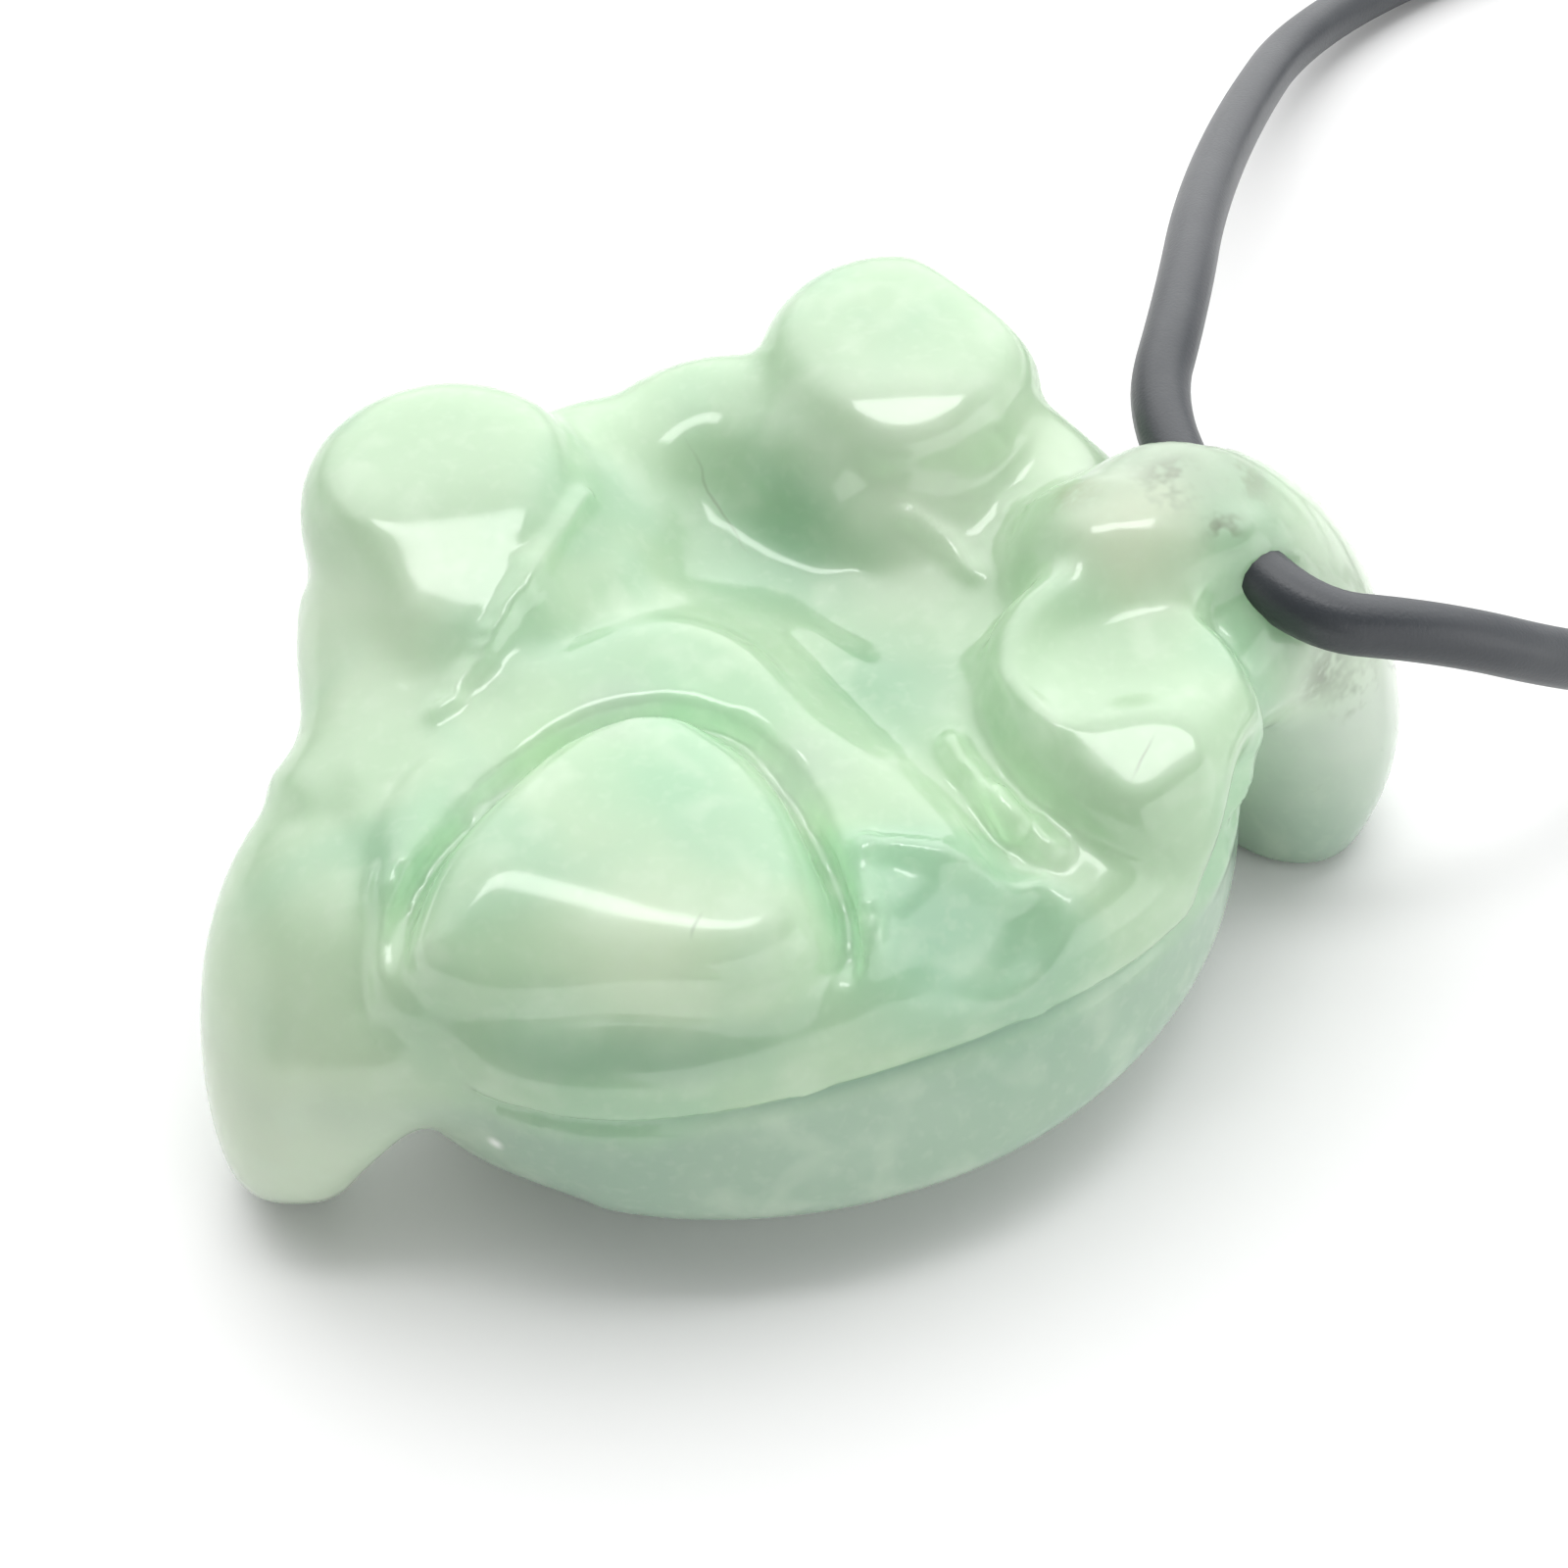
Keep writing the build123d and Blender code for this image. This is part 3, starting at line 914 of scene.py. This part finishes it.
def leg_and_tooth() -> tuple[Mark, ...]:
    """Returns the marks on the leg round the flat foot and on the tooth at its end."""
    crest = (
        (-8.6, 1.4), (-5.6, 2.0), (-3.4, 1.9), (-1.7, 0.2),
        (-0.6, -2.8), (0.4, -6.0), (1.5, -8.4),
    )
    outer = (
        (-10.6, 1.0), (-8.0, 2.1), (-5.8, 2.5), (-3.6, 2.5),
        (-1.3, 1.4), (-0.3, -1.0), (0.2, -3.4), (0.9, -5.8),
        (1.7, -7.4),
    )
    trough = (
        (0.6, 1.0), (1.2, -1.6), (1.8, -4.6), (2.3, -6.8),
        (2.8, -8.6),
    )
    return (
        Smear(outer, 2.2, 90),
        Rub(centre=(-1.2, 3.4, 12.0), radius=3.2, rounds=90),
        Rub(centre=(1.0, -1.2, 11.8), radius=2.4, rounds=60),
        Stroke(crest, 1.60, 0.30),
        Stroke(((-4.4, 6.9), (-6.5, 4.7), (-9.0, 2.7), (-11.6, 1.2)), 0.55, 0.35, Profile.SHARP),
        Stroke(trough, 0.60, -0.30),
        Smear(trough, 0.9, 6),
        Stroke(((2.8, -5.2), (3.0, -7.0), (3.3, -8.4)), 0.45, 0.60),
        Stroke(((3.2, -7.4), (3.8, -8.8), (4.0, -9.6)), 0.65, 0.55),
        Facet(centre=(0.4, -10.6, 11.4), tilt=42, turn=-70, reach=3.2, softness=0.15),
        Stroke(((-1.0, -8.3), (0.6, -9.2), (2.0, -10.2), (3.2, -10.6)), 0.50, 0.40),
        Stroke(((-1.5, -8.0), (-2.0, -9.4), (-2.6, -11.0)), 0.45, 0.30),
        Rub(centre=(-2.3, -10.2, 11.2), radius=1.0, rounds=12),
    )


def neck_tongue() -> tuple[Mark, ...]:
    """Returns the marks on the neck where it grows out of the belly."""
    return (
        Rub(centre=(6.0, 2.0, 11.9), radius=2.0, rounds=25),
        Swell(centre=(13.5, 1.6, 15.0), radius=3.2, lift=0.55),
        Swell(centre=(9.6, -0.6, 14.6), radius=2.4, lift=0.25),
        Rub(centre=(11.8, -1.2, 14.2), radius=2.8, rounds=60),
        Rub(centre=(14.8, -5.2, 10.4), radius=3.4, rounds=160),
        Stroke(((8.6, 2.6), (9.7, 1.2), (10.7, 0.2)), 0.8, 0.14),
        Stroke(((5.2, 3.6), (6.0, 2.8), (6.4, 1.0)), 0.5, 0.3),
        Rub(centre=(12.2, -4.0, 11.4), radius=1.8, rounds=20),
    )


def flanks() -> tuple[Mark, ...]:
    """Returns the marks on the shell's sides and the tail."""
    return (
        Facet(centre=(-19.8, -8.6, 3.7), tilt=130, turn=-112, reach=9.0, softness=0.8),
        Rub(centre=(-16.2, -7.6, 7.0), radius=3.4, rounds=120),
        Rub(centre=(-18.6, -7.8, 3.6), radius=3.0, rounds=60),
    )


@dataclass
class JadeCarving:
    """The turtle, carved in one piece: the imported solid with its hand-cut flats, creases and ridges."""

    cell: float = 0.21  # size of the carving's mesh cells
    soften: int = 9  # rounds of smoothing after the mesh is made
    polish: int = 2  # rounds of smoothing after the marks
    ripple: float = 0.02  # height of the hand-cut waviness
    ripple_size: float = 3.2
    finish: JadeFinish = JadeFinish()

    @staticmethod
    def marks() -> tuple[Mark, ...]:
        """Returns the marks of the tools, in the order that they are made."""
        return (*far_feet(), *near_front_foot(), *flat_foot(), *leg_and_tooth(), *neck_tongue(), *flanks())

    def build(self) -> bpy.types.Object:
        """Makes the carving.

        Returns:
            The finished piece.
        """
        obj = mesh_object("jade_turtle", self._cells())
        clay = Clay(obj.data)
        for mark in self.marks():
            mark.work(clay)
        clay.relax(self.polish, np.full(len(clay.places), 0.5))
        clay.pull(self._waves(clay))
        clay.finish()
        dress(obj, self.finish.material())
        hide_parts("turtle")
        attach(obj, BODY)
        return obj

    def _cells(self) -> bpy.types.Mesh:
        """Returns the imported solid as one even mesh."""
        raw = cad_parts["turtle"].data.copy()
        shape = bmesh.new()
        shape.from_mesh(raw)
        bmesh.ops.remove_doubles(shape, verts=shape.verts, dist=1e-3 * MM)
        for lump in lumps():
            lump.add(shape)
        shape.to_mesh(raw)
        shape.free()
        blank = mesh_object("blank", raw)
        cells = blank.modifiers.new("cells", "REMESH")
        cells.mode = "VOXEL"
        cells.voxel_size = self.cell * MM
        graph = bpy.context.evaluated_depsgraph_get()
        mesh = bpy.data.meshes.new_from_object(blank.evaluated_get(graph))
        bpy.data.objects.remove(blank)
        shape = bmesh.new()
        shape.from_mesh(mesh)
        for _ in range(self.soften):
            bmesh.ops.smooth_vert(
                shape, verts=shape.verts, factor=0.5, use_axis_x=True, use_axis_y=True, use_axis_z=True
            )
        shape.to_mesh(mesh)
        shape.free()
        return mesh

    def _waves(self, clay: Clay) -> np.ndarray:
        """Returns the height of the faint waviness of hand work at every point of the carving."""
        waves = [noise.noise(Vector(place / self.ripple_size)) for place in clay.places]
        return np.array(waves) * self.ripple


@dataclass
class Clasp:
    """The plain tube that closes the loop."""

    finish: SteelFinish = SteelFinish()

    def build(self) -> bpy.types.Object:
        """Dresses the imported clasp.

        Returns:
            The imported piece.
        """
        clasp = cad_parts["clasp"]
        dress(clasp, self.finish.material())
        return clasp


@dataclass
class Cord:
    """The round cord, from one end of the clasp round the loop to the other."""

    diameter: float = 2.0
    length: float = 380.0
    exit: Point = (57.81, -12.58, 1.8)
    lead: Point = (54.81, -12.58, 1.8)
    return_lead: Point = (74.81, -12.58, 1.8)
    end: Point = (71.81, -12.58, 1.8)
    hole: Point = (14.01, -0.68)
    reach: float = 88.6
    spread: float = 38.3
    climb: float = 12.2
    finish: CordFinish = CordFinish()
    route: tuple[Point, ...] = (
        (0.404, -0.310, 0.010),
        (0.350, -0.290, 0.0),
        (0.303, -0.165, 0.0),
        (0.308, 0.015, 0.0),
        (0.368, 0.130, 0.0),
        (0.460, 0.090, 0.0),
        (0.553, -0.070, 0.0),
        (0.680, -0.165, 0.0),
        (0.820, -0.110, 0.0),
        (0.925, 0.105, 0.0),
        (0.948, 0.395, 0.0),
        (0.895, 0.665, 0.0),
        (0.775, 0.812, 0.0),
        (0.630, 0.818, 0.0),
        (0.505, 0.722, 0.0),
        (0.408, 0.520, 0.0),
        (0.336, 0.285, 0.0),
        (0.272, 0.083, 0.016),
        (0.213, -0.068, 0.164),
        (0.162, -0.146, 0.402),
        (0.107, -0.175, 0.697),
        (0.055, -0.164, 0.926),
        (0.0, -0.118, 1.0),
        (0.0, 0.124, 1.0),
        (0.045, 0.261, 0.975),
        (0.099, 0.451, 0.755),
        (0.176, 0.678, 0.418),
        (0.262, 0.900, 0.060),
        (0.360, 0.987, 0.0),
        (0.486, 1.0, 0.0),
        (0.652, 0.985, 0.0),
        (0.816, 0.905, 0.0),
        (0.938, 0.728, 0.0),
        (1.0, 0.444, 0.0),
        (0.996, 0.094, 0.0),
        (0.930, -0.175, 0.0),
        (0.826, -0.298, 0.0),
        (0.746, -0.319, 0.010),
    )

    def points(self) -> list[Point]:
        """Returns the route's control points, in metres."""
        radius = self.diameter / 2
        middle = [
            (self.hole[0] + self.reach * x, self.hole[1] + self.spread * y, radius + self.climb * rise)
            for x, y, rise in self.route
        ]
        ends = [self.exit, self.lead, *middle, self.return_lead, self.end]
        return [tuple(value * MM for value in point) for point in ends]

    def build(self, clasp: bpy.types.Object) -> bpy.types.Object:
        """Makes the cord.

        Args:
            clasp: The piece on its two ends; not used.

        Returns:
            The finished cord.
        """
        curve = bpy.data.curves.new("neck_cord", "CURVE")
        curve.dimensions = "3D"
        curve.bevel_depth = self.diameter / 2 * MM
        curve.bevel_resolution = 6
        curve.resolution_u = 14
        curve.use_fill_caps = True
        spline = curve.splines.new("NURBS")
        points = self.points()
        spline.points.add(len(points) - 1)
        for control, point in zip(spline.points, points, strict=True):
            control.co = (*point, 1.0)
        spline.order_u = 3
        spline.use_endpoint_u = True
        spline.use_smooth = True
        cord = bpy.data.objects.new("neck_cord", curve)
        bpy.context.scene.collection.objects.link(cord)
        dress(cord, self.finish.material())
        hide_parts("cord")
        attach(cord, BODY)
        return cord


@dataclass(frozen=True)
class Lamp:
    """A soft box that points at the carving, in degrees, millimetres and watts."""

    name: str
    height: float
    turn: float
    away: float
    size: tuple[float, float]
    power: float


@dataclass
class Studio:
    """The white table, the lights and the camera."""

    azimuth: float = -22.5
    elevation: float = 50.0
    distance: float = 100.0
    target: Point = (-1.19, -1.48, 8.0)
    lens: float = 72.0
    sensor: float = 36.0
    floor_half: float = 900.0
    floor_white: float = 0.90
    floor_shade: float = 0.985  # the darker patches of the table, as a share of its white
    sky: float = 0.12
    bright_sky: float = 2.80
    bright_height: float = 134.5
    side_sky: float = 1.10
    side_height: float = 8.0
    lamps: tuple[Lamp, ...] = (
        Lamp("strip_box", 95.0, 0.0, 420.0, (220.0, 70.0), 0.25),
        Lamp("near_fill", 18.0, 46.0, 400.0, (640.0, 320.0), 0.85),
    )

    def build(self) -> None:
        """Sets the whole stage up."""
        self._floor()
        self._sky()
        for lamp in self.lamps:
            self._hang(lamp)
        self._camera()
        scene = bpy.context.scene
        scene.view_settings.view_transform = "Standard"
        scene.cycles.max_bounces = 4
        scene.cycles.diffuse_bounces = 3
        scene.cycles.glossy_bounces = 2

    def _heading(self, height: float, turn: float) -> Vector:
        """Gives a direction in the camera's own upright plane, or turned from it.

        Args:
            height: Degrees up from the table on the camera's side, past 90 on the far side.
            turn: Degrees round the vertical from that plane.

        Returns:
            The direction from the carving.
        """
        side = math.radians(self.azimuth + turn)
        rise = math.radians(height)
        return Vector((math.sin(side) * math.cos(rise), -math.cos(side) * math.cos(rise), math.sin(rise)))

    def _floor(self) -> None:
        """Lays the white table."""
        shape = bmesh.new()
        bmesh.ops.create_grid(shape, x_segments=1, y_segments=1, size=self.floor_half * MM)
        mesh = bpy.data.meshes.new("table")
        shape.to_mesh(mesh)
        shape.free()
        table = mesh_object("table", mesh)
        recipe = Recipe("table")
        white = (self.floor_white, self.floor_white, self.floor_white)
        shade = tuple(value * self.floor_shade for value in white)
        colour = recipe.blend(recipe.cloud(40.0), white, shade)
        dress(table, recipe.surface({"Base Color": colour, "Roughness": 0.85}))

    def _sky(self) -> None:
        """Sets the white light from all round, brightest behind the carving and at its two sides."""
        world = bpy.data.worlds.new("sky")
        world.use_nodes = True
        nodes = Nodes(world.node_tree)
        place = nodes.node("ShaderNodeTexCoord", output="Generated")
        behind = nodes.facing(place, self._heading(self.bright_height, 0.0)).rise(0.40, 1.0)
        beside = nodes.facing(place, self._heading(self.side_height, 90.0)).distance_to(0.0).rise(0.70, 1.0)
        strength = behind * (self.bright_sky - self.sky) + self.sky + beside * self.side_sky
        inputs = {"Color": (1.0, 1.0, 1.0, 1.0), "Strength": strength}
        background = nodes.node("ShaderNodeBackground", None, inputs)
        nodes.node("ShaderNodeOutputWorld", None, {"Surface": background})
        bpy.context.scene.world = world

    def _hang(self, lamp: Lamp) -> None:
        """Hangs a lamp.

        Args:
            lamp: The lamp.
        """
        data = bpy.data.lights.new(lamp.name, "AREA")
        data.shape = "RECTANGLE"
        data.size, data.size_y = (value * MM for value in lamp.size)
        data.energy = lamp.power
        obj = bpy.data.objects.new(lamp.name, data)
        bpy.context.scene.collection.objects.link(obj)
        heading = self._heading(lamp.height, lamp.turn)
        obj.location = heading * lamp.away * MM
        obj.rotation_euler = heading.to_track_quat("Z", "Y").to_euler()

    def _camera(self) -> None:
        """Places the camera at the photograph's angle."""
        data = bpy.data.cameras.new("camera")
        data.lens = self.lens
        data.sensor_width = self.sensor
        data.clip_start = MM
        data.dof.use_dof = False
        camera = bpy.data.objects.new("camera", data)
        bpy.context.scene.collection.objects.link(camera)
        heading = self._heading(self.elevation, 0.0)
        camera.location = (Vector(self.target) + heading * self.distance) * MM
        camera.rotation_euler = heading.to_track_quat("Z", "Y").to_euler()
        bpy.context.scene.camera = camera


def main() -> None:
    """Builds the pendant and its stage."""
    logging.basicConfig(level=logging.INFO, format="%(message)s")
    Studio().build()
    clasp = Clasp().build()
    log.info("clasp dressed")
    cord = Cord().build(clasp)
    log.info("cord %s laid", cord.name)
    turtle = JadeCarving().build()
    log.info("%s carved, %d faces", turtle.name, len(turtle.data.polygons))


if __name__ == "__main__":
    main()
